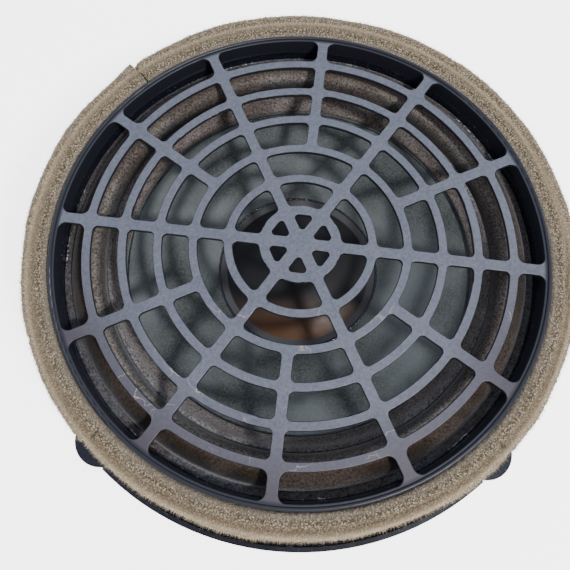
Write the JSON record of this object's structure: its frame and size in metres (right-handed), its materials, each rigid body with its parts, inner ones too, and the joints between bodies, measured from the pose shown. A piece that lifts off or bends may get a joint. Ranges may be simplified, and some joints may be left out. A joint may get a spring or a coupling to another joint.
{
  "type": "car loudspeaker driver",
  "caption": "Round car loudspeaker driver with a moulded basket, a spider-web grille, a foam strip round its rim and a paper cone on a magnet motor.",
  "frame": {"origin": "centre of the four lug holes, in the plane of the mounting flange's back face", "axes": "+Z out of the front along the cone's axis, +X half-way between two lugs, +Y towards the terminals"},
  "size_m": [0.2328, 0.2328, 0.0833],
  "materials": {
    "basket_plastic": "satin moulded plastic",
    "grille_plastic": "satin moulded plastic with a worn sheen",
    "foam": "open-cell foam",
    "surround_foam": "fine foam",
    "adhesive": "cured glossy adhesive",
    "cone_paper": "pressed paper pulp",
    "cap_plastic": "satin coated dome",
    "former": "thin foil",
    "winding": "enamelled wire",
    "spider_cloth": "impregnated woven cotton",
    "zinc_steel": "zinc plated steel",
    "ferrite": "sintered ferrite, dull",
    "screw_steel": "zinc plated steel",
    "board": "hard insulating board",
    "tab_brass": "tinned brass",
    "rivet": "brass",
    "lead_braid": "braided copper tinsel"
  },
  "bodies": {
    "frame": {"basket": "basket_plastic", "front_grille": "grille_plastic", "foam_gasket": "foam", "surround": "surround_foam", "surround_glue": "adhesive", "spider": "spider_cloth", "front_plate": "zinc_steel", "magnet": "ferrite", "yoke": "zinc_steel", "motor_screws": "screw_steel", "terminal_board": "board", "terminal_rivets": "rivet", "terminal_tab_positive": "tab_brass", "terminal_tab_negative": "tab_brass", "tinsel_lead_positive": "lead_braid", "tinsel_lead_negative": "lead_braid"},
    "diaphragm": {"cone": "cone_paper", "cone_edge_glue": "adhesive", "dust_cap": "cap_plastic", "dust_cap_glue": "adhesive", "neck_glue": "adhesive", "voice_coil_former": "former", "voice_coil_winding": "winding", "spider_glue": "adhesive", "lead_anchors": "adhesive"}
  },
  "joints": [
    {"name": "cone_travel", "type": "slide", "parent": "frame", "child": "diaphragm", "axis": [0, 0, 1], "range_m": [-0.005, 0.005], "stiffness_N_per_m": 1800, "deforming": ["surround", "spider", "tinsel_lead_positive", "tinsel_lead_negative"]}
  ]
}
